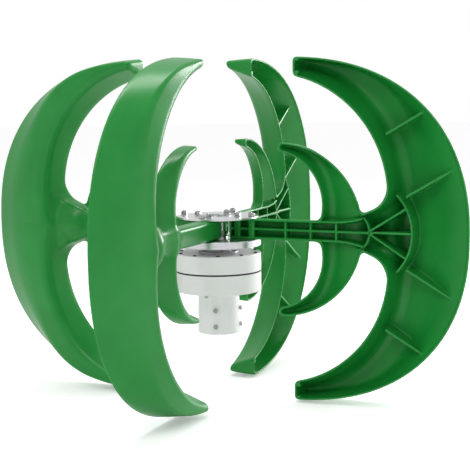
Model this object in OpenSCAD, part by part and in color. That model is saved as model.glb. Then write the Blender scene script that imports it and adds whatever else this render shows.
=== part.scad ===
// Vertical axis wind turbine: four moulded blades between two hub discs, turning on a
// permanent magnet generator that clamps on a pole. Millimetres, +Z up, the origin at
// the mouth of the pole socket. blade_1 points along +X.

/* [Blades] */
// Radius from the shaft axis to the outer edge of a blade
blade_r = 460; // [440:5:480]
// Half the height of a blade
blade_half_h = 302.5; // [290:2.5:315]
// Wall thickness of the blade moulding
skin = 3.5; // [3:0.25:4]
// Depth of the outer scoop, from its open rim to its closed back
scoop_depth = 57; // [50:1:62]
// Depth of the arm
arm_depth = 24; // [20:1:40]
// Depth of the inner scoop
inner_depth = 28; // [24:1:32]

/* [Hub] */
// Diameter of the top disc
top_disc_d = 145; // [145:1:150]
// Thickness of the top disc
top_disc_t = 3; // [2:0.5:4]
// Diameter of the lower hub flange
hub_flange_d = 154; // [150:1:158]
// Thickness of the lower hub flange
hub_flange_t = 13; // [11:1:14]
// Radius of the inner circle of blade bolts
inner_bolt_r = 39; // [37:1:42]
// Radius of the outer circle of blade bolts
outer_bolt_r = 66; // [62:1:66]

/* [Generator] */
// Diameter of the generator housing
housing_d = 154; // [154:1:158]
// Number of screws that hold the two housing halves together
cover_screw_count = 10; // [8:1:12]
// Number of stator teeth, coils and magnets
pole_count = 12; // [10:1:14]

/* [Pole sleeve] */
// Bore for the pole
pole_d = 60; // [58:1:62]
// Outer diameter of the sleeve at its mouth
sleeve_d = 76.8; // [75:0.2:78]

/* [Hidden] */
$fn = 64;
blade_green = [0.16, 0.56, 0.26];
coat_white = [0.92, 0.92, 0.91];
bright_metal = [0.80, 0.81, 0.82];
bolt_steel = [0.62, 0.63, 0.64];
dark_rubber = [0.08, 0.08, 0.08];
copper = [0.72, 0.42, 0.20];
lamination = [0.35, 0.36, 0.38];
magnet_grey = [0.50, 0.51, 0.54];

// Heights of the stack, from the mouth of the sleeve
sleeve_h = 77;
lower_housing_z = sleeve_h;
gasket_z = 111.5;
gasket_t = 3;
upper_housing_z = gasket_z + gasket_t;
housing_top_z = 146;
cap_top_z = 155;
hub_z = 158.5;
blade_low_z = hub_z + hub_flange_t;
arm_half_h = 18.5;
mid_z = blade_low_z + arm_half_h;
top_disc_z = mid_z + arm_half_h;
top_face_z = top_disc_z + top_disc_t;
shaft_low_z = 84;
shaft_top_z = 206;

// Blade outline, in the plane through the shaft axis
rim_y = -5;
edge_x = 131.5;
edge_power = 2.29;
gap_x = 106;
gap_z = 61;
gap_r = 211;
tip_x = 147;
scoop_x = 120.5;
scoop_r = 153.8;
hollow_x = 107.5;
hollow_z = 46;
hollow_r = 92;
inner_tip_x = 118;
root_x = 24;
neck_x = 235;
neck_fillet = 26;
inner_fillet = 16;
bevel_y = 20;
bevel = 12;

// Blade ribs. An arc is its centre, its radius and half its height, and a straight
// trough rib is its start and its length
rib = 4;
arm_rib_x = [131, 178, 225];
arm_rib_end_x = 260;
near_arc = [246, 37.5, 29];
far_arc = [265, 94, 66];
fan_x = 281;
fan_turn = 32;
fan_rib_l = 78;
neck_rib_drop = 6;
trough_ribs = [[315, 171, 73], [352, 65, 94]];
trough_rib_turn = 30;
trough_rib_drop = 12;
boss_post_r = 6;
bolt_circles = [inner_bolt_r, outer_bolt_r];

// Fasteners: thread radius, width across flats, head height
m4 = [2, 7, 3.5];
m6 = [3, 10, 4];
fit_gap = 0.05;
hole_gap = 0.2;
head_recess = 4.2;
head_recess_r = 6.3;
washer_t = 1.2;
nut_t = 5;
cap_screw_r = 30.5;
cap_screw_turn = 45;
sleeve_screw_r = 20;
sleeve_bolt_z = [16, 45];
sleeve_bolt_turns = [-74.2, 15.8];
sleeve_bolt_seat = sleeve_d / 2 + 0.2;
grommet_turn = -102;
grommet_z = 71;

// Shaft and its keys
shaft_d = 20;
collar_r = 16;
key_w = 6;
key_low_r = 6.5;
key_top_r = 12.5;

// Generator insides
magnet_gap_turn = 4;
housing_wall = 13;
plate_t = 6;
stator_z = 98;
stator_h = 30;
stator_r = housing_d / 2 - housing_wall;
yoke_in_r = stator_r - 6.5;
bore_r = 40;
magnet_in_r = 35.2;
magnet_out_r = 39.2;
pocket_lip_z = 134;
boss_r = 26;
seal_r = 17;
bearing_w = 12;
bearing_r = 21;
ball_r = 3.1;
ball_pitch_r = 15.5;
ball_count = 9;
groove_r = 3.2;
lower_bearing_z = 84;
upper_bearing_z = 138;
lead_r = 27;

// ---- helpers ----
function bend(v, power) = sign(v) * pow(abs(v), 2 / power);
function edge_points(inset) = [for (i = [0 : 95]) let (t = 360 * i / 96)
    [(blade_r - edge_x - inset) * bend(cos(t), edge_power),
     (blade_half_h - inset) * bend(sin(t), edge_power)]];

// Stands a flat shape up in the radial plane, from depth y0 to depth y1
module in_plane(y0, y1) {
    rotate([90, 0, 0])
        translate([0, 0, -y1])
            linear_extrude(y1 - y0)
                children();
}

// Fills inside corners with arcs of radius r
module filleted(r) {
    offset(r = -r, $fn = 40)
        offset(r = r, $fn = 40)
            children();
}

module around(count, r, turn = 0) {
    for (i = [0 : count - 1])
        rotate(turn + 360 * i / count)
            translate([r, 0, 0])
                children();
}

module tube(r_out, r_in, h) {
    difference() {
        cylinder(r = r_out, h = h);
        translate([0, 0, -1])
            cylinder(r = r_in, h = h + 2);
    }
}

module hex_prism(across_flats, h) {
    cylinder(d = across_flats / cos(30), h = h, $fn = 6);
}

module socket_screw(size, length) {
    difference() {
        union() {
            cylinder(r = size[1] / 2, h = size[2]);
            translate([0, 0, -length])
                cylinder(r = size[0], h = length + 1);
        }
        translate([0, 0, size[2] - 2])
            hex_prism(size[1] * 0.5, 3);
    }
}

// ---- blade ----
// The outer crescent: a squared oval with two round gaps and square tips
module crescent_solid(inset, y0, y1) {
    shrink = 1 - (bevel + 8) / blade_half_h;
    difference() {
        translate([edge_x, 0, 0]) {
            in_plane(y0, bevel_y)
                polygon(edge_points(inset));
            translate([0, bevel_y, 0])
                rotate([-90, 0, 0])
                    linear_extrude(y1 - bevel_y, scale = shrink)
                        polygon(edge_points(inset));
        }
        for (side = [-1, 1])
            translate([gap_x, 0, side * gap_z])
                rotate([-90, 0, 0]) {
                    translate([0, 0, y0 - 1])
                        cylinder(r = gap_r + inset, h = bevel_y - y0 + 1.01);
                    translate([0, 0, bevel_y])
                        cylinder(r1 = gap_r + inset, r2 = gap_r + inset + bevel, h = y1 - bevel_y + 0.1);
                }
        translate([tip_x + inset - 600, y0 - 1, -400])
            cube([600, y1 - y0 + 2, 800]);
    }
}

module inner_crescent_outline() {
    difference() {
        translate([scoop_x, 0])
            circle(scoop_r);
        for (side = [-1, 1])
            translate([hollow_x, side * hollow_z])
                circle(hollow_r);
        translate([inner_tip_x - 400, -200])
            square([400, 400]);
    }
}

module arm_outline() {
    translate([root_x, -arm_half_h])
        square([310 - root_x, 2 * arm_half_h]);
}

// The inner crescent, with round corners where the arm crosses it
module inner_scoop_outline() {
    filleted(inner_fillet) {
        inner_crescent_outline();
        arm_outline();
    }
}

// The arm, with its neck flaring into the outer crescent
module arm_and_neck_outline() {
    arm_outline();
    intersection() {
        filleted(neck_fillet) {
            difference() {
                translate([edge_x, 0])
                    polygon(edge_points(0));
                for (side = [-1, 1])
                    translate([gap_x, side * gap_z])
                        circle(gap_r);
            }
            arm_outline();
        }
        translate([neck_x, -70])
            square([90, 140]);
    }
}

module straight_rib(length) {
    translate([0, -rib / 2])
        square([length, rib]);
}

// The straight ribs of the trough run a little past both ends, into the walls
module trough_rib(start) {
    for (side = [-1, 1])
        scale([1, side, 1])
            translate([start[0], start[1]])
                rotate(trough_rib_turn)
                    translate([-8, 0])
                        straight_rib(start[2] + 16);
}

module arc_rib(arc) {
    intersection() {
        translate([arc[0], 0])
            difference() {
                circle(arc[1] + rib / 2);
                circle(arc[1] - rib / 2);
            }
        translate([arc[0], -arc[2]])
            square([2 * arc[1], 2 * arc[2]]);
    }
}

module arm_ribs() {
    translate([root_x, 0])
        straight_rib(arm_rib_end_x - root_x);
    for (side = [-1, 1])
        translate([root_x, side * (arm_half_h - skin / 2) - skin / 2])
            square([arm_rib_x[2] - root_x, skin]);
    for (x = arm_rib_x)
        translate([x - rib / 2, -arm_half_h])
            square([rib, 2 * arm_half_h]);
    arc_rib(near_arc);
}

module neck_ribs() {
    arc_rib(far_arc);
    for (side = [-1 : 1])
        translate([fan_x, 0])
            rotate(side * fan_turn)
                straight_rib(fan_rib_l);
}

module blade() {
    difference() {
        union() {
            crescent_solid(0, rim_y, rim_y + scoop_depth);
            in_plane(rim_y, rim_y + inner_depth)
                inner_scoop_outline();
            in_plane(rim_y, rim_y + arm_depth)
                arm_and_neck_outline();
        }
        difference() {
            union() {
                crescent_solid(skin, rim_y - 1, rim_y + scoop_depth - skin);
                in_plane(rim_y - 1, rim_y + inner_depth - skin)
                    offset(delta = -skin)
                        inner_scoop_outline();
                in_plane(rim_y - 1, rim_y + arm_depth - skin)
                    offset(delta = -skin)
                        arm_and_neck_outline();
            }
            in_plane(rim_y, rim_y + arm_depth)
                arm_ribs();
            in_plane(rim_y + neck_rib_drop, rim_y + scoop_depth)
                neck_ribs();
            in_plane(rim_y + trough_rib_drop, rim_y + scoop_depth)
                for (start = trough_ribs)
                    trough_rib(start);
            for (r = bolt_circles)
                translate([r, 0, -arm_half_h])
                    cylinder(r = boss_post_r, h = 2 * arm_half_h);
        }
        for (r = bolt_circles)
            translate([r, 0, -50])
                cylinder(r = m6[0] + hole_gap, h = 100);
    }
}

module placed_blade(quarter) {
    color(blade_green)
        rotate(90 * quarter)
            translate([0, 0, mid_z])
                blade();
}

module blade_1() { placed_blade(0); }
module blade_2() { placed_blade(1); }
module blade_3() { placed_blade(2); }
module blade_4() { placed_blade(3); }

// ---- hub ----
module at_blade_bolts() {
    for (r = bolt_circles)
        around(4, r)
            children();
}

module top_disc() {
    color(bright_metal)
        translate([0, 0, top_disc_z])
            difference() {
                union() {
                    cylinder(d = top_disc_d, h = top_disc_t);
                    cylinder(r = 25, h = top_disc_t + 0.6);
                }
                translate([0, 0, -1])
                    cylinder(r = 21, h = top_disc_t + 3);
                at_blade_bolts()
                    translate([0, 0, -1])
                        cylinder(r = m6[0] + hole_gap, h = top_disc_t + 2);
            }
}

module hub_flange() {
    color(bright_metal)
        translate([0, 0, hub_z])
            difference() {
                rotate_extrude()
                    polygon([[shaft_d / 2 + 0.02, 0], [hub_flange_d / 2 - 1, 0], [hub_flange_d / 2, 1],
                        [hub_flange_d / 2, hub_flange_t - 1], [hub_flange_d / 2 - 1, hub_flange_t],
                        [shaft_d / 2 + 0.02, hub_flange_t]]);
                at_blade_bolts() {
                    translate([0, 0, -1])
                        cylinder(r = m6[0] + hole_gap, h = hub_flange_t + 2);
                    translate([0, 0, -1])
                        cylinder(r = head_recess_r, h = head_recess + 1);
                }
                translate([0, -key_w / 2, -1])
                    cube([key_top_r, key_w, hub_flange_t + 2]);
            }
}

// The heads sit in recesses under the flange
module blade_bolts() {
    seat_z = hub_z + head_recess;
    color(bolt_steel)
        at_blade_bolts() {
            translate([0, 0, seat_z - m6[2]])
                hex_prism(m6[1], m6[2]);
            translate([0, 0, seat_z - 1])
                cylinder(r = m6[0], h = top_face_z + 9 - seat_z);
        }
}

module blade_washers() {
    color(bolt_steel)
        at_blade_bolts()
            translate([0, 0, top_face_z])
                tube(6.2, m6[0] + hole_gap, washer_t);
}

module blade_nuts() {
    color(bolt_steel)
        at_blade_bolts()
            translate([0, 0, top_face_z + washer_t])
                difference() {
                    hex_prism(m6[1], nut_t);
                    translate([0, 0, -1])
                        cylinder(r = m6[0] + fit_gap, h = nut_t + 2);
                }
}

// ---- shaft and rotor ----
module shaft() {
    color(bolt_steel)
        difference() {
            union() {
                translate([0, 0, shaft_low_z])
                    cylinder(d = shaft_d, h = blade_low_z - shaft_low_z);
                translate([0, 0, cap_top_z + 0.5])
                    cylinder(r = collar_r, h = hub_z - cap_top_z - 0.5);
                translate([0, 0, blade_low_z])
                    thread(shaft_d / 2, 2.5, 13);
            }
            keyway(hub_z, hub_flange_t);
            keyway(stator_z, stator_h);
        }
}

// Plain ridges stand for the screw thread
module thread(r, pitch, turns) {
    h = shaft_top_z - blade_low_z;
    rotate_extrude()
        polygon(concat([[0, 0]],
            [for (i = [0 : turns - 1]) each [[r - 1.2, i * pitch], [r - 0.1, (i + 0.5) * pitch]]],
            [[r - 1.2, turns * pitch], [r - 2.2, h], [0, h]]));
}

module shaft_washer() {
    color(bolt_steel)
        translate([0, 0, blade_low_z])
            tube(17.5, shaft_d / 2 + hole_gap, 3);
}

module shaft_nut() {
    color(bolt_steel)
        translate([0, 0, blade_low_z + 3])
            difference() {
                hex_prism(30, 10);
                translate([0, 0, -1])
                    cylinder(r = shaft_d / 2 - 0.05, h = 12);
            }
}

module keyway(z, length) {
    translate([key_low_r, -key_w / 2, z])
        cube([shaft_d / 2, key_w, length]);
}

// A key fills its slots in the shaft and in the hub, with a little room on each side
module key(z, length) {
    color(bolt_steel)
        translate([key_low_r + 0.1, fit_gap - key_w / 2, z + 0.1])
            cube([key_top_r - key_low_r - 0.2, key_w - 2 * fit_gap, length - 0.2]);
}

module hub_key() { key(hub_z, hub_flange_t); }
module core_key() { key(stator_z, stator_h); }

module spacer(z0, z1) {
    color(bright_metal)
        translate([0, 0, z0])
            tube(13, shaft_d / 2 + fit_gap, z1 - z0);
}

module lower_spacer() { spacer(lower_bearing_z + bearing_w, stator_z); }
module upper_spacer() { spacer(stator_z + stator_h, upper_bearing_z); }

module rotor_core() {
    color(lamination)
        translate([0, 0, stator_z])
            difference() {
                tube(magnet_in_r, shaft_d / 2 + fit_gap, stator_h);
                around(6, 24, 30)
                    translate([0, 0, -1])
                        cylinder(r = 6, h = stator_h + 2);
                translate([0, -key_w / 2, -1])
                    cube([key_top_r, key_w, stator_h + 2]);
            }
}

module rotor_magnets() {
    magnet_angle = 360 / pole_count - magnet_gap_turn;
    color(magnet_grey)
        for (i = [0 : pole_count - 1])
            rotate(360 * i / pole_count - magnet_angle / 2)
                translate([0, 0, stator_z])
                    rotate_extrude(angle = magnet_angle)
                        translate([magnet_in_r, 0])
                            square([magnet_out_r - magnet_in_r, stator_h]);
}

// ---- bearings ----
module race(z, r0, r1) {
    color(bright_metal)
        translate([0, 0, z])
            rotate_extrude()
                difference() {
                    translate([r0, 0])
                        square([r1 - r0, bearing_w]);
                    translate([ball_pitch_r, bearing_w / 2])
                        circle(groove_r);
                }
}

module balls(z) {
    color(bolt_steel)
        translate([0, 0, z + bearing_w / 2])
            around(ball_count, ball_pitch_r)
                sphere(ball_r);
}

module cage(z) {
    color("goldenrod")
        translate([0, 0, z + bearing_w / 2 - 4])
            difference() {
                tube(16.6, 14.4, 8);
                around(ball_count, ball_pitch_r - 3)
                    translate([0, 0, 4])
                        rotate([0, 90, 0])
                            cylinder(r = ball_r + 0.1, h = 6);
            }
}

module upper_bearing_inner() { race(upper_bearing_z, shaft_d / 2 + 0.02, 13.4); }
module upper_bearing_outer() { race(upper_bearing_z, 17.6, bearing_r); }
module upper_bearing_balls() { balls(upper_bearing_z); }
module upper_bearing_cage() { cage(upper_bearing_z); }
module lower_bearing_inner() { race(lower_bearing_z, shaft_d / 2 + 0.02, 13.4); }
module lower_bearing_outer() { race(lower_bearing_z, 17.6, bearing_r); }
module lower_bearing_balls() { balls(lower_bearing_z); }
module lower_bearing_cage() { cage(lower_bearing_z); }

// ---- housing ----
module at_cover_screws() {
    around(cover_screw_count, housing_d / 2 - 7, 6)
        children();
}

module upper_housing() {
    r = housing_d / 2;
    wall_in = r - housing_wall;
    pocket = bearing_r + 0.02;
    color(coat_white)
        difference() {
            rotate_extrude()
                polygon([[wall_in, upper_housing_z], [r, upper_housing_z], [r, housing_top_z - 2],
                    [r - 0.6, housing_top_z - 0.6], [r - 2, housing_top_z], [pocket, housing_top_z],
                    [pocket, upper_bearing_z], [19, upper_bearing_z], [19, pocket_lip_z],
                    [boss_r, pocket_lip_z], [boss_r, housing_top_z - plate_t],
                    [wall_in, housing_top_z - plate_t]]);
            at_cover_screws()
                translate([0, 0, upper_housing_z - 1])
                    cylinder(r = m4[0] + hole_gap, h = 40);
            around(4, cap_screw_r, cap_screw_turn)
                translate([0, 0, housing_top_z - 7])
                    cylinder(r = m4[0] + fit_gap, h = 10);
        }
}

module lower_housing() {
    r = housing_d / 2;
    wall_in = r - housing_wall;
    pocket = bearing_r + 0.02;
    floor_z = lower_housing_z + plate_t;
    boss_top_z = lower_bearing_z + bearing_w;
    color(coat_white)
        difference() {
            rotate_extrude()
                polygon([[0, lower_housing_z], [r - 2, lower_housing_z], [r - 0.6, lower_housing_z + 0.6],
                    [r, lower_housing_z + 2], [r, gasket_z], [wall_in, gasket_z], [wall_in, floor_z],
                    [boss_r, floor_z], [boss_r, boss_top_z], [pocket, boss_top_z],
                    [pocket, lower_bearing_z], [19, lower_bearing_z], [19, floor_z - 1], [0, floor_z - 1]]);
            at_cover_screws()
                translate([0, 0, gasket_z - 12])
                    cylinder(r = m4[0] + fit_gap, h = 14);
            around(4, sleeve_screw_r, 45)
                translate([0, 0, lower_housing_z - 1])
                    cylinder(r = m4[0] + fit_gap, h = 8);
            lead_hole();
        }
}

module lead_hole() {
    rotate(grommet_turn)
        translate([lead_r, 0, lower_housing_z - 6])
            cylinder(r = 2.5, h = 14);
}

module housing_gasket() {
    color(dark_rubber)
        translate([0, 0, gasket_z])
            difference() {
                tube(housing_d / 2 - 0.8, housing_d / 2 - housing_wall, gasket_t);
                at_cover_screws()
                    translate([0, 0, -1])
                        cylinder(r = m4[0] + hole_gap, h = gasket_t + 2);
            }
}

module cover_screws() {
    color(bolt_steel)
        at_cover_screws()
            translate([0, 0, housing_top_z])
                difference() {
                    union() {
                        cylinder(r1 = 3.5, r2 = 2.6, h = 1.6);
                        translate([0, 0, -44])
                            cylinder(r = m4[0], h = 45);
                    }
                    translate([0, 0, 0.4])
                        hex_prism(2.5, 3);
                }
}

module bearing_cap() {
    neck_z = housing_top_z + 3;
    seat_z = upper_bearing_z + bearing_w;
    color(bright_metal)
        difference() {
            rotate_extrude()
                polygon([[bearing_r + 0.02, housing_top_z], [36, housing_top_z], [36, neck_z], [25, neck_z],
                    [25, cap_top_z - 1], [24, cap_top_z], [seal_r + 0.02, cap_top_z],
                    [seal_r + 0.02, seat_z], [bearing_r + 0.02, seat_z]]);
            around(4, cap_screw_r, cap_screw_turn)
                translate([0, 0, housing_top_z - 1])
                    cylinder(r = m4[0] + hole_gap, h = 6);
        }
}

module cap_screws() {
    color(bolt_steel)
        around(4, cap_screw_r, cap_screw_turn)
            translate([0, 0, housing_top_z + 3])
                socket_screw(m4, 9);
}

module shaft_seal() {
    color(dark_rubber)
        translate([0, 0, upper_bearing_z + bearing_w])
            tube(seal_r, shaft_d / 2 + 0.06, cap_top_z - upper_bearing_z - bearing_w);
}

// ---- stator ----
module stator_core() {
    color(lamination)
        translate([0, 0, stator_z])
            linear_extrude(stator_h) {
                difference() {
                    circle(stator_r - 0.02);
                    circle(yoke_in_r);
                }
                for (i = [0 : pole_count - 1])
                    rotate(360 * i / pole_count)
                        translate([42, -3])
                            square([yoke_in_r - 41, 6]);
                difference() {
                    circle(43);
                    circle(bore_r);
                    for (i = [0 : pole_count - 1])
                        rotate(360 * (i + 0.5) / pole_count)
                            translate([30, -2])
                                square([20, 4]);
                }
            }
}

module stator_windings() {
    color(copper)
        for (i = [0 : pole_count - 1])
            rotate(360 * i / pole_count)
                translate([44, 0, stator_z - 6])
                    difference() {
                        translate([0, -8.6, 0])
                            cube([12, 17.2, stator_h + 12]);
                        translate([-1, -3.1, 5.9])
                            cube([14, 6.2, stator_h + 0.2]);
                    }
}

// ---- pole sleeve ----
// Turns +Z outwards along each of the pole clamping bolts
module at_sleeve_bolts() {
    for (z = sleeve_bolt_z)
        for (turn = sleeve_bolt_turns)
            translate([0, 0, z])
                rotate([0, 90, turn])
                    children();
}

module pole_sleeve() {
    socket_h = 65;
    top_r = 37;
    color(coat_white)
        difference() {
            rotate_extrude()
                polygon(concat([[0, socket_h], [pole_d / 2, socket_h], [pole_d / 2, 0]],
                    [for (a = [0 : 22.5 : 90]) [sleeve_d / 2 - 5 + 5 * sin(a), 5 - 5 * cos(a)]],
                    [[sleeve_d / 2 - 0.4, 24], [top_r, sleeve_h - 12], [top_r, sleeve_h], [0, sleeve_h]]));
            at_sleeve_bolts()
                translate([0, 0, 25])
                    cylinder(r = m6[0] + fit_gap, h = 20);
            around(4, sleeve_screw_r, 45)
                translate([0, 0, socket_h - 1]) {
                    cylinder(r = m4[0] + hole_gap, h = 20);
                    cylinder(r = 4, h = 6);
                }
            rotate(grommet_turn) {
                translate([20, 0, grommet_z])
                    rotate([0, 90, 0])
                        cylinder(r = 4, h = 30);
                translate([lead_r, 0, grommet_z])
                    cylinder(r = 2.5, h = 20);
            }
        }
}

module sleeve_screws() {
    color(bolt_steel)
        around(4, sleeve_screw_r, 45)
            translate([0, 0, 70])
                rotate([180, 0, 0])
                    socket_screw(m4, 12.5);
}

module sleeve_bolts() {
    tip = pole_d / 2 + 0.6;
    color(bolt_steel)
        at_sleeve_bolts() {
            translate([0, 0, sleeve_bolt_seat])
                hex_prism(8, 3.4);
            translate([0, 0, tip])
                cylinder(r = m6[0], h = sleeve_bolt_seat + 1 - tip);
        }
}

module cable_grommet() {
    color(dark_rubber)
        rotate(grommet_turn)
            translate([32, 0, grommet_z])
                rotate([0, 90, 0])
                    difference() {
                        union() {
                            cylinder(r = 3.95, h = 6);
                            translate([0, 0, 5.1])
                                cylinder(r = 4.6, h = 0.8);
                        }
                        translate([0, 0, -1])
                            cylinder(r = 2.2, h = 10);
                    }
}

blade_1();
blade_2();
blade_3();
blade_4();
top_disc();
hub_flange();
blade_bolts();
blade_washers();
blade_nuts();
shaft();
shaft_nut();
shaft_washer();
hub_key();
core_key();
lower_spacer();
upper_spacer();
rotor_core();
rotor_magnets();
upper_bearing_inner();
upper_bearing_outer();
upper_bearing_balls();
upper_bearing_cage();
lower_bearing_inner();
lower_bearing_outer();
lower_bearing_balls();
lower_bearing_cage();
upper_housing();
lower_housing();
housing_gasket();
cover_screws();
bearing_cap();
cap_screws();
shaft_seal();
stator_core();
stator_windings();
pole_sleeve();
sleeve_screws();
sleeve_bolts();
cable_grommet();
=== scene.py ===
import math
import bmesh
import bpy
import numpy as np
from mathutils import Matrix, Vector


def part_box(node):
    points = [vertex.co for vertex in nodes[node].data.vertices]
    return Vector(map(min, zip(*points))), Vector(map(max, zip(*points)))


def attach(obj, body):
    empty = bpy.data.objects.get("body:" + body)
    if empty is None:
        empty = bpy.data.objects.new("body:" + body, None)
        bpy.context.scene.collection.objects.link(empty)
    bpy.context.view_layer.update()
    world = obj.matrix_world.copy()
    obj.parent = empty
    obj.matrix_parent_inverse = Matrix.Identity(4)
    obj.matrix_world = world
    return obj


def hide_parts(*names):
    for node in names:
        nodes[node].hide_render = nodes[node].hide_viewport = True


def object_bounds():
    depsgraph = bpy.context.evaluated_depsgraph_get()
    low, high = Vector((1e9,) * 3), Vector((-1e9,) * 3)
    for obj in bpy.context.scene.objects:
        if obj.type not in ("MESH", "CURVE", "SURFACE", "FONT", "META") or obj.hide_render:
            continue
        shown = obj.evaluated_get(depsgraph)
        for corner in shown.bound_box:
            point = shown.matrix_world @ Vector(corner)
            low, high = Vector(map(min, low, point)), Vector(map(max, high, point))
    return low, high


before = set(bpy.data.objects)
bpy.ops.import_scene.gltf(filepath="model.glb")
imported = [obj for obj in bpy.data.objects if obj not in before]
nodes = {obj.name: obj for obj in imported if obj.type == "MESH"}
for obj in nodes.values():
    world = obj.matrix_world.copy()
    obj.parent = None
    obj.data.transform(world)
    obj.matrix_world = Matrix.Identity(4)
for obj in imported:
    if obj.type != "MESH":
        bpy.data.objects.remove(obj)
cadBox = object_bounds()
scene = bpy.context.scene
mm = 0.001
print("frame loaded,", len(nodes), "nodes")

cameraSetup = {
    "turn": 23.78,       # degrees to the right of straight ahead
    "tilt": 6.673,       # degrees above the hub
    "roll": -0.696,
    "distance": 2.4455,
    "lens": 104.38,
    "reach": 0.0305,     # the aim lies this far from the shaft
    "aimHeight": 0.1759,
}


def placeCamera(setup):
    turn = math.radians(setup["turn"])
    tilt = math.radians(setup["tilt"])
    aim = Vector((setup["reach"] * math.cos(turn), setup["reach"] * math.sin(turn), setup["aimHeight"]))
    away = Vector((math.sin(turn) * math.cos(tilt), -math.cos(turn) * math.cos(tilt), math.sin(tilt)))
    data = bpy.data.cameras.new("camera")
    data.lens = setup["lens"]
    data.sensor_width = 36
    data.clip_end = 60
    obj = bpy.data.objects.new("camera", data)
    obj.matrix_world = (
        Matrix.Translation(aim + away * setup["distance"])
        @ Matrix.Rotation(turn, 4, "Z")
        @ Matrix.Rotation(math.radians(90) - tilt, 4, "X")
        @ Matrix.Rotation(math.radians(setup["roll"]), 4, "Z")
    )
    scene.collection.objects.link(obj)
    scene.camera = obj


placeCamera(cameraSetup)

studio = {
    "skyStrength": 0.74,
    "darkSide": 0.72,        # share of the sky's strength left on its darker side
    "darkTowards": (0.40, -0.91, 0.10),
    "aim": (0, 0, 0.19),
    "floorRadius": 14,
    "floorDrop": 0.004,      # gap under the lowest blade tip
    "floorGlow": 0.30,
    "lamps": [
        # name, place, size, watts
        ("keyLamp", (0.2, -2.2, 2.3), 1.0, 16),
        ("backLamp", (1.35, 2.6, 0.7), 1.0, 50),
        ("topLamp", (-0.3, 0.4, 2.7), 1.1, 26),
    ],
}


def buildStudio(setup):
    world = bpy.data.worlds.new("studio")
    scene.world = world
    world.use_nodes = True
    tree = world.node_tree
    tree.nodes.clear()
    out = tree.nodes.new("ShaderNodeOutputWorld")
    seen = tree.nodes.new("ShaderNodeBackground")
    seen.inputs["Strength"].default_value = 1.0
    seen.inputs["Color"].default_value = (1, 1, 1, 1)
    sky = tree.nodes.new("ShaderNodeBackground")
    sky.inputs["Color"].default_value = (1, 1, 1, 1)
    where = tree.nodes.new("ShaderNodeTexCoord")
    facing = tree.nodes.new("ShaderNodeVectorMath")
    facing.operation = "DOT_PRODUCT"
    facing.inputs[1].default_value = setup["darkTowards"]
    tree.links.new(where.outputs["Generated"], facing.inputs[0])
    dim = tree.nodes.new("ShaderNodeMapRange")
    dim.inputs["From Min"].default_value = 0.25
    dim.inputs["From Max"].default_value = 0.95
    dim.inputs["To Min"].default_value = setup["skyStrength"]
    dim.inputs["To Max"].default_value = setup["skyStrength"] * setup["darkSide"]
    tree.links.new(facing.outputs["Value"], dim.inputs["Value"])
    tree.links.new(dim.outputs["Result"], sky.inputs["Strength"])
    path = tree.nodes.new("ShaderNodeLightPath")
    mix = tree.nodes.new("ShaderNodeMixShader")
    tree.links.new(path.outputs["Is Camera Ray"], mix.inputs["Fac"])
    tree.links.new(sky.outputs[0], mix.inputs[1])
    tree.links.new(seen.outputs[0], mix.inputs[2])
    tree.links.new(mix.outputs[0], out.inputs["Surface"])
    centre = Vector(setup["aim"])
    for name, place, size, power in setup["lamps"]:
        data = bpy.data.lights.new(name, "AREA")
        data.shape = "SQUARE"
        data.size = size
        data.energy = power
        lamp = bpy.data.objects.new(name, data)
        lamp.location = place
        lamp.rotation_euler = (centre - Vector(place)).to_track_quat("-Z", "Y").to_euler()
        scene.collection.objects.link(lamp)
    bm = bmesh.new()
    bmesh.ops.create_circle(bm, cap_ends=True, segments=96, radius=setup["floorRadius"])
    mesh = bpy.data.meshes.new("studioFloor")
    bm.to_mesh(mesh)
    bm.free()
    floor = bpy.data.objects.new("studioFloor", mesh)
    floor.location.z = cadBox[0].z - setup["floorDrop"]
    scene.collection.objects.link(floor)
    paint = bpy.data.materials.new("floorPaper")
    paint.use_nodes = True
    shader = paint.node_tree.nodes["Principled BSDF"]
    shader.inputs["Base Color"].default_value = (0.95, 0.95, 0.95, 1)
    shader.inputs["Roughness"].default_value = 0.9
    shader.inputs["Emission Color"].default_value = (1, 1, 1, 1)
    seenFloor = paint.node_tree.nodes.new("ShaderNodeLightPath")
    glow = paint.node_tree.nodes.new("ShaderNodeMath")
    glow.operation = "MULTIPLY"
    glow.inputs[1].default_value = setup["floorGlow"]
    paint.node_tree.links.new(seenFloor.outputs["Is Camera Ray"], glow.inputs[0])
    paint.node_tree.links.new(glow.outputs[0], shader.inputs["Emission Strength"])
    mesh.materials.append(paint)


buildStudio(studio)
scene.view_settings.view_transform = "Standard"
print("camera and studio ready")


def newFinish(name, colour, roughness, metal=0.0):
    mat = bpy.data.materials.new(name)
    mat.use_nodes = True
    tree = mat.node_tree
    shader = tree.nodes["Principled BSDF"]
    shader.inputs["Base Color"].default_value = (*colour, 1)
    shader.inputs["Roughness"].default_value = roughness
    shader.inputs["Metallic"].default_value = metal
    place = tree.nodes.new("ShaderNodeTexCoord")
    return mat, tree, shader, place.outputs["Object"]


def addNoise(tree, where, scale, detail=3.0, rough=0.5):
    noise = tree.nodes.new("ShaderNodeTexNoise")
    noise.inputs["Scale"].default_value = scale
    noise.inputs["Detail"].default_value = detail
    noise.inputs["Roughness"].default_value = rough
    tree.links.new(where, noise.inputs["Vector"])
    return noise.outputs["Fac"]


def addRange(tree, value, low, high, fromLow=0.3, fromHigh=0.7):
    remap = tree.nodes.new("ShaderNodeMapRange")
    remap.inputs["From Min"].default_value = fromLow
    remap.inputs["From Max"].default_value = fromHigh
    remap.inputs["To Min"].default_value = low
    remap.inputs["To Max"].default_value = high
    tree.links.new(value, remap.inputs["Value"])
    return remap.outputs["Result"]


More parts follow.
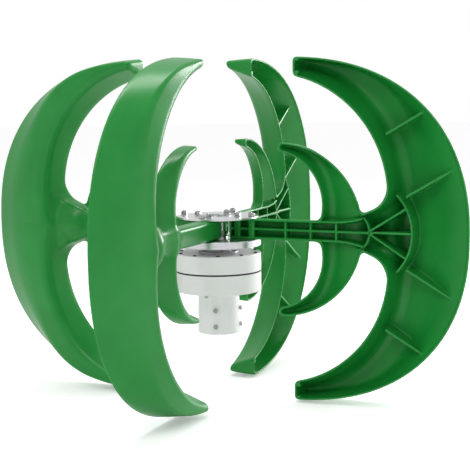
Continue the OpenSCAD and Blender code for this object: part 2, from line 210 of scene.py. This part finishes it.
def addColours(tree, value, stops):
    ramp = tree.nodes.new("ShaderNodeValToRGB")
    ramp.color_ramp.elements[0].position = stops[0][0]
    ramp.color_ramp.elements[0].color = (*stops[0][1], 1)
    ramp.color_ramp.elements[1].position = stops[-1][0]
    ramp.color_ramp.elements[1].color = (*stops[-1][1], 1)
    for at, colour in stops[1:-1]:
        ramp.color_ramp.elements.new(at).color = (*colour, 1)
    tree.links.new(value, ramp.inputs["Fac"])
    return ramp.outputs["Color"]


def addBump(tree, shader, height, strength, distance, under=None):
    bump = tree.nodes.new("ShaderNodeBump")
    bump.inputs["Strength"].default_value = strength
    bump.inputs["Distance"].default_value = distance
    tree.links.new(height, bump.inputs["Height"])
    if under:
        tree.links.new(under, bump.inputs["Normal"])
    tree.links.new(bump.outputs["Normal"], shader.inputs["Normal"])
    return bump.outputs["Normal"]


def addMath(tree, kind, first, second=None):
    node = tree.nodes.new("ShaderNodeMath")
    node.operation = kind
    for slot, value in enumerate((first, second)):
        if isinstance(value, (int, float)):
            node.inputs[slot].default_value = value
        elif value is not None:
            tree.links.new(value, node.inputs[slot])
    return node.outputs[0]


def addTurning(tree, where, fineness):
    # lathe marks: noise that depends only on the radius and the height
    parts = tree.nodes.new("ShaderNodeSeparateXYZ")
    tree.links.new(where, parts.inputs[0])
    radius = addMath(tree, "SQRT", addMath(
        tree, "ADD",
        addMath(tree, "MULTIPLY", parts.outputs["X"], parts.outputs["X"]),
        addMath(tree, "MULTIPLY", parts.outputs["Y"], parts.outputs["Y"]),
    ))
    joined = tree.nodes.new("ShaderNodeCombineXYZ")
    tree.links.new(radius, joined.inputs["X"])
    tree.links.new(parts.outputs["Z"], joined.inputs["Z"])
    return addNoise(tree, joined.outputs[0], fineness, 4.0, 0.6)


def paintedHighlightMask(tree, sharpness=0.62):
    # 0 on flat faces, rising on outside corners; the mask for the painted edge highlight
    shape = tree.nodes.new("ShaderNodeNewGeometry")
    return addRange(tree, shape.outputs["Pointiness"], 0.0, 1.0, 0.52, sharpness)


plastic = {
    "deep": (0.006, 0.215, 0.026),
    "middle": (0.009, 0.255, 0.034),
    "light": (0.015, 0.295, 0.045),
    "roughness": (0.28, 0.39),
    "flowScale": 9.0,        # broad cloudiness from the moulding flow
    "grainScale": 950.0,     # fine spark-eroded grain
    "paintedEdgeHighlight": (0.11, 0.44, 0.16),
    "paintedEdgeHighlightShare": 0.2,       # how pale the painted highlight on the outside corners gets
}


def bladePlastic(setup):
    mat, tree, shader, where = newFinish("bladePlastic", setup["middle"], 0.33)
    flow = addNoise(tree, where, setup["flowScale"], 4.0, 0.55)
    tint = addColours(tree, flow, [(0.25, setup["deep"]), (0.5, setup["middle"]), (0.78, setup["light"])])
    scuffs = addNoise(tree, where, 120.0, 6.0, 0.7)
    rough = addMath(tree, "ADD", addRange(tree, flow, *setup["roughness"]),
                    addRange(tree, scuffs, 0.0, 0.05, 0.45, 0.75))
    tree.links.new(rough, shader.inputs["Roughness"])
    # painted highlight: rims, rib tops and other outside corners are mixed towards a pale green
    paintedEdgeHighlight = tree.nodes.new("ShaderNodeMix")
    paintedEdgeHighlight.data_type = "RGBA"
    paintedEdgeHighlight.inputs["B"].default_value = (*setup["paintedEdgeHighlight"], 1)
    share = addMath(tree, "MULTIPLY", paintedHighlightMask(tree), setup["paintedEdgeHighlightShare"])
    tree.links.new(share, paintedEdgeHighlight.inputs["Factor"])
    tree.links.new(tint, paintedEdgeHighlight.inputs["A"])
    tree.links.new(paintedEdgeHighlight.outputs["Result"], shader.inputs["Base Color"])
    waves = addBump(tree, shader, addNoise(tree, where, 26.0, 2.0), 0.10, 0.0012)
    addBump(tree, shader, addNoise(tree, where, setup["grainScale"], 2.0), 0.05, 0.00018, waves)
    shader.inputs["Specular IOR Level"].default_value = 0.36
    shader.inputs["Coat Weight"].default_value = 0.06
    shader.inputs["Coat Roughness"].default_value = 0.2
    return mat


coat = {"colour": (0.90, 0.90, 0.895), "shade": (0.86, 0.86, 0.855), "roughness": (0.30, 0.42)}


def whiteCoat(setup):
    mat, tree, shader, where = newFinish("whiteCoat", setup["colour"], 0.36)
    cloud = addNoise(tree, where, 14.0, 5.0, 0.6)
    tree.links.new(addColours(tree, cloud, [(0.3, setup["shade"]), (0.65, setup["colour"])]),
                   shader.inputs["Base Color"])
    peel = addNoise(tree, where, 620.0, 2.0, 0.5)
    tree.links.new(addRange(tree, cloud, *setup["roughness"]), shader.inputs["Roughness"])
    addBump(tree, shader, peel, 0.16, 0.00025)
    shader.inputs["Coat Weight"].default_value = 0.25
    shader.inputs["Coat Roughness"].default_value = 0.2
    return mat


def turnedMetal(name, colour, dull, roughness, fineness):
    mat, tree, shader, where = newFinish(name, colour, roughness[0], 1.0)
    marks = addTurning(tree, where, fineness)
    tree.links.new(addColours(tree, marks, [(0.3, dull), (0.68, colour)]), shader.inputs["Base Color"])
    smear = addNoise(tree, where, 38.0, 4.0, 0.6)
    tree.links.new(addMath(tree, "ADD", addRange(tree, marks, *roughness),
                           addRange(tree, smear, 0.0, 0.08)), shader.inputs["Roughness"])
    addBump(tree, shader, marks, 0.22, 0.00012)
    return mat


def platedSteel(name, colour, dull, roughness):
    mat, tree, shader, where = newFinish(name, colour, roughness[0], 1.0)
    spots = addNoise(tree, where, 340.0, 5.0, 0.65)
    tree.links.new(addColours(tree, spots, [(0.3, dull), (0.7, colour)]), shader.inputs["Base Color"])
    tree.links.new(addRange(tree, spots, *roughness), shader.inputs["Roughness"])
    addBump(tree, shader, addNoise(tree, where, 1400.0, 2.0), 0.10, 0.00008)
    return mat


def matteRubber(name, colour):
    mat, tree, shader, where = newFinish(name, colour, 0.7)
    dust = addNoise(tree, where, 90.0, 5.0, 0.6)
    pale = tuple(0.6 * c + 0.03 for c in colour)
    tree.links.new(addColours(tree, dust, [(0.35, colour), (0.8, pale)]), shader.inputs["Base Color"])
    tree.links.new(addRange(tree, dust, 0.6, 0.85), shader.inputs["Roughness"])
    addBump(tree, shader, addNoise(tree, where, 900.0, 3.0), 0.3, 0.0001)
    return mat


def layeredIron(name, colour):
    # thin punched sheets stacked along the shaft
    mat, tree, shader, where = newFinish(name, colour, 0.5, 0.8)
    parts = tree.nodes.new("ShaderNodeSeparateXYZ")
    tree.links.new(where, parts.inputs[0])
    saw = addMath(tree, "FRACT", addMath(tree, "MULTIPLY", parts.outputs["Z"], 2000.0))
    edge = addMath(tree, "GREATER_THAN", saw, 0.8)
    tree.links.new(addColours(tree, edge, [(0.0, colour), (1.0, tuple(0.45 * c for c in colour))]),
                   shader.inputs["Base Color"])
    tree.links.new(addRange(tree, addNoise(tree, where, 200.0), 0.4, 0.6), shader.inputs["Roughness"])
    addBump(tree, shader, saw, 0.3, 0.0001)
    return mat


def enamelledCopper():
    mat, tree, shader, where = newFinish("enamelledCopper", (0.72, 0.30, 0.12), 0.3, 0.85)
    strand = tree.nodes.new("ShaderNodeTexWave")
    strand.bands_direction = "Z"
    strand.inputs["Scale"].default_value = 420.0
    strand.inputs["Distortion"].default_value = 1.2
    tree.links.new(where, strand.inputs["Vector"])
    wire = addColours(tree, strand.outputs["Fac"], [(0.1, (0.30, 0.10, 0.03)), (0.7, (0.78, 0.34, 0.14))])
    tree.links.new(wire, shader.inputs["Base Color"])
    tree.links.new(addRange(tree, addNoise(tree, where, 160.0), 0.22, 0.4), shader.inputs["Roughness"])
    addBump(tree, shader, strand.outputs["Fac"], 0.5, 0.0004)
    return mat


finishes = {
    "blade": bladePlastic(plastic),
    "coat": whiteCoat(coat),
    "disc": turnedMetal("turnedDisc", (0.86, 0.87, 0.88), (0.66, 0.67, 0.69), (0.16, 0.30), 3800.0),
    "flange": turnedMetal("turnedFlange", (0.83, 0.84, 0.86), (0.60, 0.61, 0.63), (0.15, 0.32), 3000.0),
    "cap": turnedMetal("turnedCap", (0.55, 0.55, 0.56), (0.38, 0.38, 0.39), (0.28, 0.44), 3000.0),
    "bolt": platedSteel("stainlessFastener", (0.60, 0.60, 0.60), (0.36, 0.36, 0.36), (0.14, 0.26)),
    "sleeveBolt": platedSteel("brightBolt", (0.62, 0.62, 0.61), (0.34, 0.34, 0.34), (0.3, 0.42)),
    "darkScrew": platedSteel("blackenedScrew", (0.10, 0.10, 0.10), (0.05, 0.05, 0.05), (0.34, 0.5)),
    "shaft": platedSteel("threadedSteel", (0.50, 0.50, 0.51), (0.26, 0.26, 0.27), (0.24, 0.42)),
    "bearing": turnedMetal("groundSteel", (0.80, 0.81, 0.82), (0.70, 0.71, 0.72), (0.08, 0.16), 5000.0),
    "ball": platedSteel("polishedBall", (0.86, 0.87, 0.88), (0.80, 0.81, 0.82), (0.05, 0.10)),
    "cage": turnedMetal("cageBrass", (0.80, 0.58, 0.25), (0.62, 0.42, 0.16), (0.24, 0.4), 3600.0),
    "iron": layeredIron("laminatedIron", (0.30, 0.31, 0.33)),
    "magnet": platedSteel("nickelPlating", (0.70, 0.68, 0.64), (0.60, 0.58, 0.55), (0.14, 0.24)),
    "copper": enamelledCopper(),
    "rubber": matteRubber("blackRubber", (0.012, 0.012, 0.012)),
    "paleRubber": matteRubber("paleRubber", (0.60, 0.60, 0.585)),
}
nodeFinishes = {
    "coat": ["upper_housing", "lower_housing", "pole_sleeve"],
    "disc": ["top_disc"],
    "flange": ["hub_flange"],
    "cap": ["bearing_cap"],
    "shaft": ["shaft", "hub_key", "core_key"],
    "bolt": ["blade_bolts", "blade_nuts", "blade_washers", "shaft_nut", "shaft_washer", "cover_screws",
             "cap_screws", "sleeve_screws", "sleeve_bolts", "lower_spacer", "upper_spacer"],
    "bearing": ["upper_bearing_inner", "upper_bearing_outer",
                "lower_bearing_inner", "lower_bearing_outer"],
    "ball": ["upper_bearing_balls", "lower_bearing_balls"],
    "cage": ["upper_bearing_cage", "lower_bearing_cage"],
    "iron": ["stator_core", "rotor_core"],
    "magnet": ["rotor_magnets"],
    "copper": ["stator_windings"],
    "rubber": ["housing_gasket", "shaft_seal"],
    "paleRubber": ["cable_grommet"],
    "blade": ["blade_1", "blade_2", "blade_3", "blade_4"],
}
for key, names in nodeFinishes.items():
    for name in names:
        for used in nodes[name].material_slots:
            used.link = "OBJECT"
            used.material = finishes[key]
print("finishes made,", len(finishes))

bladeLow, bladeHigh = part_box("blade_1")
blade = {
    # lengths in millimetres, seen with the arm pointing right and the open side in front
    "reach": bladeHigh.x / mm,
    "halfHeight": (bladeHigh.z - bladeLow.z) / mm / 2,
    "middle": (bladeHigh.z + bladeLow.z) / mm / 2,
    "rimPlane": bladeLow.y / mm,
    "root": bladeLow.x / mm,
    "squareness": 2.29,          # 2 would be an ellipse
    "edgeCentre": 131.5,
    "gapCentre": (106, 61),
    "gapRadius": 211,
    "tipCut": 147,
    "tipRound": 9,
    "innerCentre": 120.5,
    "innerRadius": 153.8,
    "hollowCentre": (107.5, 46),
    "hollowRadius": 92,
    "innerTipCut": 118,
    "innerTipRound": 7,
    "lip": 4,                    # upright edge before the back slopes away
    "armHalf": 18.5,
    "armDepth": 24,
    "armDraft": 0.05,
    "armRound": 7,
    "armEnd": 330,
    "rootRound": 4,
    "neckHalf": 28,
    "neckStart": 222,
    "neckAt": 278,
    "domeAt": 290,               # the rounded end of the arm, on the back of the neck
    "domeRise": 10,
    "domeSize": (30, 35, 31),
    "domeSoft": 20,
    "filletBack": 24,            # where the arm runs into the outer scoop
    "filletExtra": 20,           # added at the rim, and gone at filletFade
    "filletFade": 38,
    "innerFillet": 11,
    "skin": 3.4,
    "rimRound": 1.6,
    "cell": 1.9,                 # size of the net that the surface is drawn with
}
ribs = {
    "half": 2.0,                 # half the thickness
    "armAt": (131, 178, 225),
    "armDrop": 0.3,              # how far each rib's top lies below the rim
    "crossDrop": 1.2,
    "neckDrop": 6,
    "troughDrop": 12,
    "nearArc": (246, 37.5),      # centre and radius of the curved ribs
    "farArc": (265, 94, 67),
    "fanAt": (280, 0),
    "fan": ((0, 80), (32, 79)),  # angle and length
    "trough": ((310, 168, 82), (346, 62, 104)),
    "troughTurn": 30,
    "troughHalf": 2.5,
    "clearOfBack": 2.4,
}
bosses = {
    "at": (39, 66),
    "radius": 6,
    "pegs": ((154.6, 297.6), (154.6, 274.6)),    # two small posts inside each tip
    "pegRadius": 3.6,
    "pegTop": 40,
}
outerScoop = {"depth": 57, "wideAt": 132, "narrowAt": 56, "creaseSoft": 9, "ridgeSoft": 20}
innerScoop = {"depth": 28, "wideAt": 56, "narrowAt": 24, "creaseSoft": 8, "ridgeSoft": 15}


def roundMax(a, b, k):
    blend = np.maximum(k - np.abs(a - b), 0) / k
    return np.maximum(a, b) + blend * blend * k / 4


def roundMin(a, b, k):
    return -roundMax(-a, -b, k)


def outerEdge(x, z):
    # distance to the squared oval, negative inside
    p = blade["squareness"]
    wide = blade["reach"] - blade["edgeCentre"]
    tall = blade["halfHeight"]
    u = np.maximum(x - blade["edgeCentre"], 1e-3) / wide
    v = np.maximum(np.abs(z), 1e-3) / tall
    size = (u ** p + v ** p) ** (1 / p)
    slope = size ** (1 - p) * np.hypot(u ** (p - 1) / wide, v ** (p - 1) / tall)
    return (size - 1) / slope


def gapEdge(x, z):
    across, up = blade["gapCentre"]
    return blade["gapRadius"] - np.hypot(x - across, np.abs(z) - up)


def innerOuterEdge(x, z):
    return np.hypot(x - blade["innerCentre"], z) - blade["innerRadius"]


def hollowEdge(x, z):
    across, up = blade["hollowCentre"]
    return blade["hollowRadius"] - np.hypot(x - across, np.abs(z) - up)


def scoopBack(t, outward, inward, scoop):
    # closed back: a slope up from the outer edge, a crease, a gentler floor, a ridge, then
    # the inner wall. The floor narrows to nothing at the tips, and the inner wall leans more there
    width = np.maximum(-outward - inward, 8.0)
    tip = np.clip((scoop["wideAt"] - width) / (scoop["wideAt"] - scoop["narrowAt"]), 0, 1)
    tip = tip * tip * (3 - 2 * tip)
    lip = blade["lip"]
    depth = scoop["depth"]
    creaseAt = width * (0.434 - 0.31 * tip)
    creaseDepth = depth * (0.75 + 0.18 * tip)
    wallTurn = np.radians(76 - 6 * tip)
    ridgeAt = np.maximum(width - (depth - lip) / np.tan(wallTurn), creaseAt + 0.3 * depth)
    slopeTurn = np.arctan2(creaseDepth - lip, creaseAt)
    floorTurn = np.arctan2(depth + 1 - creaseDepth, ridgeAt - creaseAt)
    slope = (t - lip) * np.cos(slopeTurn) + outward * np.sin(slopeTurn)
    floor = (t - creaseDepth) * np.cos(floorTurn) + (outward + creaseAt) * np.sin(floorTurn)
    wall = (t - lip) * np.cos(wallTurn) + inward * np.sin(wallTurn)
    back = roundMax(slope, floor, scoop["creaseSoft"] * (1 - 0.4 * tip))
    back = roundMax(back, wall, scoop["ridgeSoft"] * (1 - 0.3 * tip))
    return roundMax(back, roundMax(outward, inward, 1.0), 2.5)


def scoopShape(x, t, z):
    body = scoopBack(t, outerEdge(x, z), gapEdge(x, z), outerScoop)
    return roundMax(body, blade["tipCut"] - x, blade["tipRound"])


def innerScoopShape(x, t, z):
    body = scoopBack(t, innerOuterEdge(x, z), hollowEdge(x, z), innerScoop)
    return roundMax(body, blade["innerTipCut"] - x, blade["innerTipRound"])


def neckFlare(x):
    return np.clip((x - blade["neckStart"]) / (blade["neckAt"] - blade["neckStart"]), 0, 1.6) ** 2


def armEdge(x, z):
    return np.abs(z) - (blade["armHalf"] + (blade["neckHalf"] - blade["armHalf"]) * neckFlare(x))


def armShape(x, t, z):
    body = roundMax(armEdge(x, z) + blade["armDraft"] * t, t - blade["armDepth"], blade["armRound"])
    body = np.maximum(body, x - blade["armEnd"])
    length, width, height = blade["domeSize"]
    lift = (t - blade["domeRise"]) / height
    dome = np.sqrt(((x - blade["domeAt"]) / length) ** 2 + (z / width) ** 2 + lift ** 2)
    body = roundMin(body, (dome - 1) * width, blade["domeSoft"])
    return roundMax(body, blade["root"] - x, blade["rootRound"])


def bladeOpen(x, t, z):
    # a wide fillet in the plan at the rim, a small one on the back
    fillet = blade["filletBack"] + blade["filletExtra"] * np.clip(1 - t / blade["filletFade"], 0, 1)
    body = roundMin(scoopShape(x, t, z), armShape(x, t, z), fillet)
    return roundMin(body, innerScoopShape(x, t, z), blade["innerFillet"])


def plateRib(x, z, start, angle, length, half):
    c, s = math.cos(math.radians(angle)), math.sin(math.radians(angle))
    along = (x - start[0]) * c + (z - start[1]) * s
    across = (z - start[1]) * c - (x - start[0]) * s
    return np.maximum(np.abs(across) - half, np.maximum(-along, along - length))


def arcRib(x, z, centre, radius, reach):
    ring = np.abs(np.hypot(x - centre, z) - radius) - ribs["half"]
    return np.maximum(np.maximum(ring, np.abs(z) - reach), centre - x)


def bladeRibs(x, t, z):
    half = ribs["half"]
    side = np.abs(z)
    inside = armEdge(x, z) + half
    arm = np.maximum(np.abs(inside) - half, x - blade["neckAt"] + 4)
    arm = np.maximum(arm, blade["root"] - x)
    level = np.maximum(arm, ribs["armDrop"] - t)
    cross = np.maximum(side - half, x - blade["neckAt"] - 7)
    for place in ribs["armAt"]:
        cross = np.minimum(cross, np.maximum(np.abs(x - place) - half, inside))
    level = np.minimum(level, np.maximum(cross, ribs["crossDrop"] - t))
    near = np.minimum(arcRib(x, z, *ribs["nearArc"], blade["neckHalf"]), arcRib(x, z, *ribs["farArc"]))
    for angle, length in ribs["fan"]:
        near = np.minimum(near, plateRib(x, side, ribs["fanAt"], angle, length, half))
    level = np.minimum(level, np.maximum(near, ribs["neckDrop"] - t))
    for startX, startZ, length in ribs["trough"]:
        far = plateRib(x, side, (startX, startZ), ribs["troughTurn"], length, ribs["troughHalf"])
        level = np.minimum(level, np.maximum(far, ribs["troughDrop"] - t))
    return level


def bladeBosses(x, t, z):
    side = np.abs(z)
    centre = -blade["rimPlane"]
    posts = []
    for place in bosses["at"]:
        post = np.hypot(x - place, t - centre) - bosses["radius"]
        posts.append(np.maximum(post, side - blade["armHalf"] + 0.4))
    for across, up in bosses["pegs"]:
        peg = np.hypot(x - across, side - up) - bosses["pegRadius"]
        posts.append(np.maximum(peg, t - bosses["pegTop"]))
    near = posts[0]
    for post in posts[1:]:
        near = np.minimum(near, post)
    return near


def bladeField(x, t, z):
    whole = bladeOpen(x, t, z)
    solid = roundMax(whole, -t, blade["rimRound"])
    shell = roundMax(solid, -(whole + blade["skin"]), 1.4)
    plates = np.maximum(bladeRibs(x, t, z), whole + ribs["clearOfBack"])
    shell = roundMin(shell, plates, 2.2)
    posts = np.maximum(np.maximum(bladeBosses(x, t, z), whole + 1.8), 0.6 - t)
    return roundMin(shell, posts, 1.6)


def fieldSlope(field, points, step=0.25):
    slope = np.empty_like(points)
    for axis in range(3):
        ahead = points.copy()
        behind = points.copy()
        ahead[:, axis] += step
        behind[:, axis] -= step
        slope[:, axis] = (field(*ahead.T) - field(*behind.T)) / (2 * step)
    return slope


def wrapSurface(field, low, high, cell):
    # one point in each grid cell that the surface crosses, one face for each crossed grid line
    counts = [int(math.ceil((h - l) / cell)) + 1 for l, h in zip(low, high)]
    axes = [l + cell * np.arange(n) for l, n in zip(low, counts)]
    value = field(axes[0][:, None, None], axes[1][None, :, None], axes[2][None, None, :])
    value = np.broadcast_to(value, counts)
    inside = value < 0
    shape = [n - 1 for n in counts]
    total = np.zeros(shape + [3])
    crossings = np.zeros(shape)
    faces = []
    for axis in range(3):
        others = [a for a in range(3) if a != axis]
        first = [slice(None)] * 3
        second = [slice(None)] * 3
        first[axis] = slice(0, -1)
        second[axis] = slice(1, None)
        a, b = value[tuple(first)], value[tuple(second)]
        crossed = inside[tuple(first)] != inside[tuple(second)]
        with np.errstate(divide="ignore", invalid="ignore"):
            part = np.where(crossed, a / (a - b), 0)
        for du in (0, 1):
            for dv in (0, 1):
                window = [slice(None)] * 3
                window[others[0]] = slice(du, shape[others[0]] + du)
                window[others[1]] = slice(dv, shape[others[1]] + dv)
                hit = crossed[tuple(window)]
                crossings += hit
                total[..., axis] += np.where(hit, part[tuple(window)], 0)
                total[..., others[0]] += hit * du
                total[..., others[1]] += hit * dv
    used = crossings > 0
    index = np.full(shape, -1)
    index[used] = np.arange(used.sum())
    corner = np.stack(np.nonzero(used), 1)
    points = np.array(low) + cell * (corner + total[used] / crossings[used][:, None])
    for axis in range(3):
        others = [a for a in range(3) if a != axis]
        first = [slice(1, -1)] * 3
        second = [slice(1, -1)] * 3
        first[axis] = slice(0, -1)
        second[axis] = slice(1, None)
        a, b = inside[tuple(first)], inside[tuple(second)]
        lines = np.stack(np.nonzero(a != b), 1)
        lines[:, others[0]] += 1
        lines[:, others[1]] += 1
        leaving = inside[tuple(lines.T)]
        ring = []
        for du, dv in ((0, 0), (-1, 0), (-1, -1), (0, -1)):
            at = lines.copy()
            at[:, others[0]] += du
            at[:, others[1]] += dv
            ring.append(index[tuple(at.T)])
        quads = np.stack(ring, 1)
        flip = ~leaving if axis != 1 else leaving
        quads[flip] = quads[flip][:, ::-1]
        faces.append(quads)
    return points, np.concatenate(faces)


def relaxOnto(field, points, quads, rounds, cell):
    # evens the net out and pulls it back onto the surface
    pairs = np.concatenate([quads[:, [0, 1]], quads[:, [1, 2]], quads[:, [2, 3]], quads[:, [3, 0]]])
    counts = np.bincount(pairs.ravel(), minlength=len(points)).astype(float)
    for turn in range(rounds + 1):
        if turn:
            total = np.zeros_like(points)
            np.add.at(total, pairs[:, 0], points[pairs[:, 1]])
            np.add.at(total, pairs[:, 1], points[pairs[:, 0]])
            points = points * 0.5 + total / counts[:, None] * 0.5
        for pull in range(2):
            slope = fieldSlope(field, points)
            steep = np.maximum((slope ** 2).sum(1), 0.2)
            move = (field(*points.T) / steep)[:, None] * slope
            far = np.maximum(np.linalg.norm(move, axis=1) / (0.5 * cell), 1)
            points = points - move / far[:, None]
    return points


def buildBlades():
    low = (blade["root"] - 4, -4.0, -blade["halfHeight"] - 5)
    high = (blade["reach"] + 5, outerScoop["depth"] + 6, blade["halfHeight"] + 5)
    points, quads = wrapSurface(bladeField, low, high, blade["cell"])
    points = relaxOnto(bladeField, points, quads, 2, blade["cell"])
    normals = fieldSlope(bladeField, points)
    normals /= np.maximum(np.linalg.norm(normals, axis=1), 1e-6)[:, None]
    points[:, 1] += blade["rimPlane"]
    points[:, 2] += blade["middle"]
    mesh = bpy.data.meshes.new("blade")
    mesh.from_pydata((points * mm).tolist(), [], quads.tolist())
    mesh.polygons.foreach_set("use_smooth", [True] * len(mesh.polygons))
    mesh.update()
    mesh.normals_split_custom_set_from_vertices(normals.tolist())
    mesh.materials.append(finishes["blade"])
    for turn in range(4):
        piece = bpy.data.objects.new("moulded_blade_%d" % (turn + 1), mesh)
        piece.rotation_euler.z = math.radians(90 * turn)
        scene.collection.objects.link(piece)
        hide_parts("blade_%d" % (turn + 1))
        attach(piece, "rotor")
    print("blades built,", len(points), "points")


buildBlades()

# fasteners, as stacks of rings: a ring is its height and its radius, or a hexagon's width across flats
hub = {"disc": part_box("top_disc")[1].z / mm, "flange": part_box("hub_flange")[0].z / mm,
       "circles": (39, 66), "washer": 1.2}
nut = {"across": 10, "height": 5, "bore": 3.02, "face": 4.7}
stud = {"radius": 2.98, "pitch": 1.0, "cut": 0.62, "headHeight": 4, "above": 8, "threadFrom": 6}
sleeveBolt = {"turns": (-74.2, 15.8), "heights": (16, 45), "seat": 38.6, "tip": 30.6, "radius": 2.98,
              "washer": 4.1, "across": 8, "face": 3.7}
capScrew = {"circle": 30.5, "shank": 2.0, "length": 9, "radius": 3.5, "head": 3.5, "key": 3.4}
coverScrew = {"circle": 70, "first": 6, "count": 10, "shank": 2.0, "head": 1.6, "key": 3.2}


def hexReach(angle, across):
    return across / 2 / np.cos(np.mod(angle + math.pi / 6, math.pi / 3) - math.pi / 6)


def ringStack(rings, count):
    # each ring is (height, radius) with either a fixed radius or one that depends on the angle
    angle = np.arange(count) * 2 * math.pi / count
    points = []
    for height, radius in rings:
        reach = radius(angle) if callable(radius) else np.full(count, radius)
        rise = height(angle) if callable(height) else np.full(count, height)
        points.append(np.stack([reach * np.cos(angle), reach * np.sin(angle), rise], 1))
    return np.concatenate(points)


def ringFaces(levels, count, closed):
    faces = []
    for level in range(levels if closed else levels - 1):
        low, high = level * count, (level + 1) % levels * count
        for i in range(count):
            j = (i + 1) % count
            faces.append((low + i, low + j, high + j, high + i))
    if not closed:
        faces.append(tuple(reversed(range(count))))
        faces.append(tuple(range((levels - 1) * count, levels * count)))
    return faces


def spreadPiece(name, node, rings, count, places, finish, body, closed=False):
    # one turned part, repeated at each place
    points = ringStack(rings, count)
    faces = ringFaces(len(rings), count, closed)
    allPoints, allFaces = [], []
    for place in places:
        start = sum(len(group) for group in allPoints)
        moved = np.c_[points, np.ones(len(points))] @ np.array(place).T
        allPoints.append(moved[:, :3])
        allFaces += [tuple(start + v for v in face) for face in faces]
    mesh = bpy.data.meshes.new(name)
    mesh.from_pydata((np.concatenate(allPoints) * mm).tolist(), [], allFaces)
    mesh.polygons.foreach_set("use_smooth", [True] * len(mesh.polygons))
    mesh.set_sharp_from_angle(angle=math.radians(32))
    mesh.update()
    mesh.materials.append(finishes[finish])
    piece = bpy.data.objects.new(name, mesh)
    scene.collection.objects.link(piece)
    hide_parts(node)
    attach(piece, body)


def bevelledHex(across, low, high, faceRadius):
    # a hexagon whose corners are turned down to a round face
    def reach(angle):
        return hexReach(angle, across)

    def drop(angle):
        return high - (hexReach(angle, across) - faceRadius) * 0.58

    def lift(angle):
        return low + (hexReach(angle, across) - faceRadius) * 0.58
    return [(low, faceRadius), (lift, reach), (drop, reach), (high, faceRadius)]


def threadRings(radius, cut, pitch, low, high):
    rings = []
    for height in np.arange(low, high - 0.5 * pitch, pitch / 6):
        def reach(angle, height=height):
            phase = np.mod(height / pitch - angle / (2 * math.pi), 1)
            return radius - cut * np.abs(2 * phase - 1)

        rings.append((height, reach))
    return rings + [(high - 0.4 * pitch, radius - cut * 0.6), (high, radius - cut - 0.3)]


def aroundShaft(radius, first, count):
    turns = [math.radians(first + 360 / count * i) for i in range(count)]
    return [Matrix.Rotation(turn, 4, "Z") @ Matrix.Translation((radius, 0, 0)) for turn in turns]


def buildBladeFasteners():
    places = [place for circle in hub["circles"] for place in aroundShaft(circle, 0, 4)]
    top = hub["disc"] - 0.6      # the disc's face, below its raised middle
    seat = top + hub["washer"]
    rim = seat + nut["height"]
    rings = [(seat, nut["bore"])] + bevelledHex(nut["across"], seat, rim, nut["face"])
    rings += [(rim, nut["bore"] + 0.3), (rim - 0.4, nut["bore"])]
    spreadPiece("chamfered_blade_nuts", "blade_nuts", rings, 48, places, "bolt", "rotor", closed=True)
    head = hub["flange"] + 0.2
    neck = head + stud["headHeight"]
    thread = hub["disc"] - stud["threadFrom"]
    rings = bevelledHex(nut["across"], head, neck, nut["face"])
    rings += [(neck, stud["radius"]), (thread, stud["radius"])]
    rings += threadRings(stud["radius"], stud["cut"], stud["pitch"], thread + 0.2, top + stud["above"])
    spreadPiece("threaded_blade_bolts", "blade_bolts", rings, 36, places, "bolt", "rotor")


def buildSleeveBolts():
    lying = Matrix.Rotation(math.radians(90), 4, "Y")
    places = [Matrix.Rotation(math.radians(turn), 4, "Z") @ Matrix.Translation((0, 0, height)) @ lying
              for height in sleeveBolt["heights"] for turn in sleeveBolt["turns"]]
    seat, shank, washer = sleeveBolt["seat"], sleeveBolt["radius"], sleeveBolt["washer"]
    rings = [(sleeveBolt["tip"], 2.4), (sleeveBolt["tip"] + 0.6, shank), (seat, shank)]
    rings += [(seat, washer), (seat + 0.4, washer)]
    rings += bevelledHex(sleeveBolt["across"], seat + 0.4, seat + 3.4, sleeveBolt["face"])
    rings += [(seat + 3.4, 3.0), (seat + 3.1, 2.7)]
    spreadPiece("chamfered_sleeve_bolts", "sleeve_bolts", rings, 48, places, "sleeveBolt", "stator")


def buildCapScrews():
    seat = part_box("cap_screws")[1].z / mm - capScrew["head"]
    top = seat + capScrew["head"]
    shank, radius = capScrew["shank"], capScrew["radius"]

    def knurl(angle):
        return radius - 0.1 * (np.arange(len(angle)) % 2)

    def key(angle):
        return hexReach(angle, capScrew["key"])

    rings = [(seat - capScrew["length"], shank), (seat, shank), (seat, radius - 0.1), (seat + 0.3, knurl),
             (top - 0.5, knurl), (top, radius - 0.4), (top, key),
             (seat + 1.6, lambda angle: hexReach(angle, capScrew["key"] - 0.1))]
    places = aroundShaft(capScrew["circle"], 45, 4)
    spreadPiece("knurled_cap_screws", "cap_screws", rings, 72, places, "bolt", "stator")


def buildCoverScrews():
    low, high = (corner.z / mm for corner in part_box("cover_screws"))
    seat = high - coverScrew["head"]
    shank = coverScrew["shank"]
    rings = [(low, shank - 0.6), (low + 0.6, shank), (seat, shank)]
    rings += [(seat, 3.5), (seat + 0.6, 3.45), (seat + 1.1, 3.2), (seat + 1.45, 2.8), (seat + 1.6, 2.3)]
    rings += [(seat + 1.6, lambda angle: hexReach(angle, coverScrew["key"])),
              (seat + 0.5, lambda angle: hexReach(angle, coverScrew["key"] - 0.1))]
    places = aroundShaft(coverScrew["circle"], coverScrew["first"], coverScrew["count"])
    spreadPiece("domed_cover_screws", "cover_screws", rings, 48, places, "darkScrew", "stator")


buildBladeFasteners()
buildSleeveBolts()
buildCapScrews()
buildCoverScrews()
print("fasteners built")
